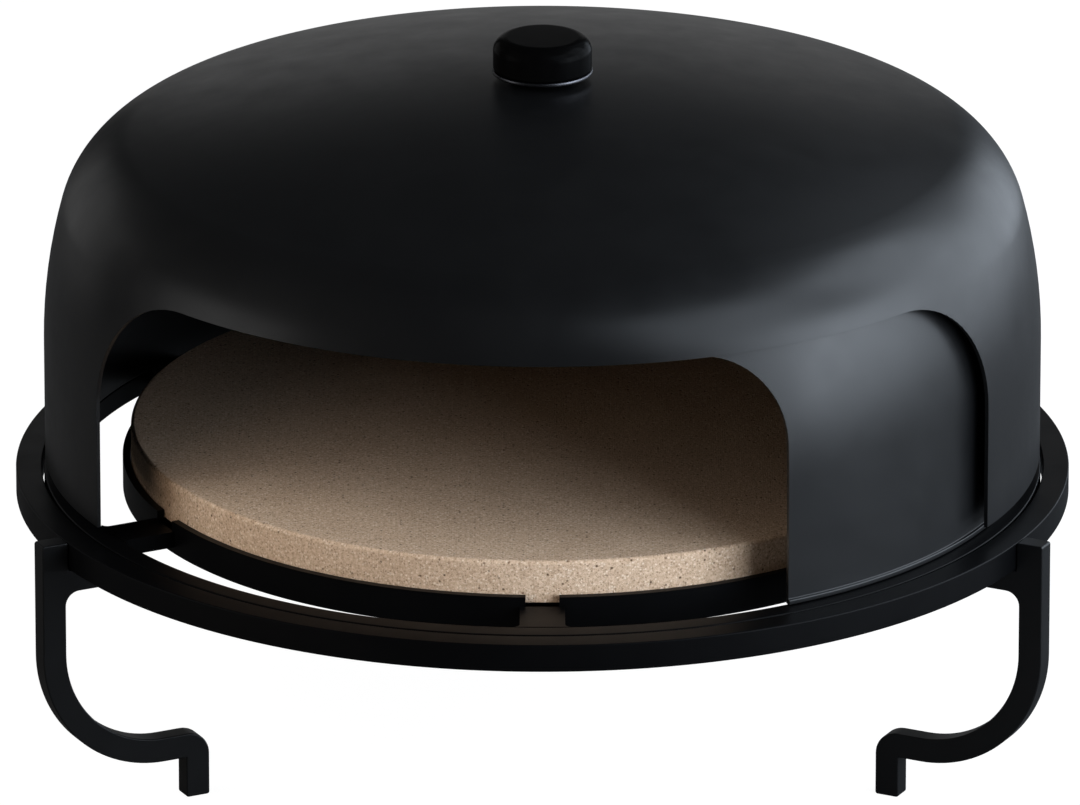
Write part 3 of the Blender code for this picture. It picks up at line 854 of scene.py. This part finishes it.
def make_domes(look):
    """The inner door and the hood over it."""
    r = FOOT_ROUND
    wall = HOOD_RADIUS - DOOR_INSET
    bead = wall + DOOR_BEAD_WIDTH
    bead_top = DOOR_FOOT + DOOR_BEAD_HEIGHT
    section = dome_surface(DOOR_INSET, bead_top + r, BOLT_BORE)
    section += arc(wall + r, bead_top + r, r, math.pi, math.pi + QUARTER, FOOT_STEPS)[1:]
    section += arc(bead - BEAD_ROUND, bead_top - BEAD_ROUND, BEAD_ROUND, QUARTER, 0, BEAD_STEPS)[1:]
    section += dome_foot(bead, wall - SHEET, DOOR_FOOT)
    section += dome_surface(DOOR_INSET + SHEET, DOOR_FOOT + r, BOLT_BORE)[-2::-1]
    mouth = (DOOR_MOUTH_TURN, DOOR_MOUTH_HALF, DOOR_MOUTH_TOP, DOOR_MOUTH_CORNER, wall)
    make_dome("inner_door", section, mouth, look, "door", "door_drum")
    section = dome_surface(0, HOOD_FOOT + r, BOLT_BORE)
    section += dome_foot(HOOD_RADIUS, HOOD_RADIUS - SHEET, HOOD_FOOT)[1:]
    section += dome_surface(SHEET, HOOD_FOOT + r, BOLT_BORE)[-2::-1]
    mouth = (HOOD_MOUTH_TURN, HOOD_MOUTH_HALF, HOOD_MOUTH_TOP, HOOD_MOUTH_CORNER, HOOD_RADIUS)
    make_dome("hood_shell", section, mouth, look, "hood", "outer_hood")


def washer(name, node, edge, look, slot):
    """A washer in the place of a node."""
    low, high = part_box(node)
    section = round_bar(high.x, BOLT_BORE, high.z - RING_PLANE, low.z - RING_PLANE, edge, 2)
    settle(turned(name, section, BUSH_STEPS), look, "hood", slot, node)


def make_knob(black, steel):
    """The knob, the plate and washer under it, and the bolt, bush and washer of the pivot."""
    low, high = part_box("knob")
    radius = high.x
    top = high.z - RING_PLANE
    bottom = low.z - RING_PLANE
    bore_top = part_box("pivot_bolt")[1].z - RING_PLANE + SEAT
    section = [(0, top)]
    r = KNOB_TOP_ROUND
    section += arc(radius - r, top - r, r, QUARTER, 0, KNOB_TOP_STEPS)
    r = KNOB_FOOT_ROUND
    section += arc(radius - r, bottom + r, r, 0, -QUARTER, KNOB_FOOT_STEPS)
    section += [(BOLT_BORE, bottom), (BOLT_BORE, bore_top), (0, bore_top)]
    settle(turned("round_knob", section, KNOB_STEPS, closed=False), black, "hood", "black_plastic", "knob")
    washer("knob_seat", "knob_washer", WASHER_EDGE, black, "black_plastic")
    washer("knob_disc", "knob_plate", PLATE_EDGE, steel, "steel")
    washer("crown_bush", "pivot_bush", WASHER_EDGE, steel, "steel")
    washer("crown_washer", "pivot_washer", WASHER_EDGE, steel, "steel")
    make_bolt(steel)


def make_bolt(look):
    """The pivot bolt: a hexagon head below and a round shank."""
    low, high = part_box("pivot_bolt")
    head_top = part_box("pivot_washer")[0].z - SEAT
    across_corners = BOLT_HEAD_FLATS / 2 / math.cos(math.pi / 6)
    height = head_top - low.z
    deselect()
    bpy.ops.mesh.primitive_cylinder_add(vertices=6, radius=across_corners, depth=height,
                                        location=(0, 0, low.z + height / 2))
    bolt = bpy.context.object
    bolt.name = "hex_bolt"
    place(bolt, Matrix.Rotation(math.pi / 6, 4, "Z"))
    edit(bolt)
    pick(bolt, "faces", lambda face: face.normal.z > 0.9)
    bpy.ops.mesh.inset(thickness=across_corners * BOLT_INSET)
    leave()
    soften(bolt, BOLT_CHAMFER / 2)
    shank_height = high.z - head_top + height / 2
    deselect()
    bpy.ops.mesh.primitive_cylinder_add(vertices=SHANK_STEPS, radius=BOLT_RADIUS, depth=shank_height,
                                        location=(0, 0, high.z - shank_height / 2))
    shank = bpy.context.object
    place(shank)
    edit(shank)
    pick(shank, "faces", lambda face: face.normal.z > 0.9)
    bpy.ops.mesh.bevel(offset=BOLT_CHAMFER, segments=2, affect="EDGES")
    leave()
    step = bolt.modifiers.new("Shank", "BOOLEAN")
    step.operation = "UNION"
    step.solver = "EXACT"
    step.object = shank
    apply(bolt, step)
    bpy.data.objects.remove(shank, do_unlink=True)
    settle(bolt, look, "hood", "steel", "pivot_bolt")


def main():
    """Dresses the oven."""
    bpy.context.scene.view_settings.view_transform = "Standard"
    make_studio()
    dome_coat = powder_coat("black_powder_coat", *DOME_COAT)
    stone = cordierite("baking_stone_cordierite")
    black = moulded_black("black_moulding")
    steel = plain_steel("turned_steel")
    make_stone(stone)
    bar_coat = powder_coat("black_bar_coat", *BAR_COAT)
    leg_coat = powder_coat("black_leg_coat", *LEG_COAT)
    make_rings(bar_coat)
    make_hoop(bar_coat)
    make_spokes(bar_coat)
    make_legs(leg_coat)
    make_domes(dome_coat)
    make_knob(black, steel)


main()
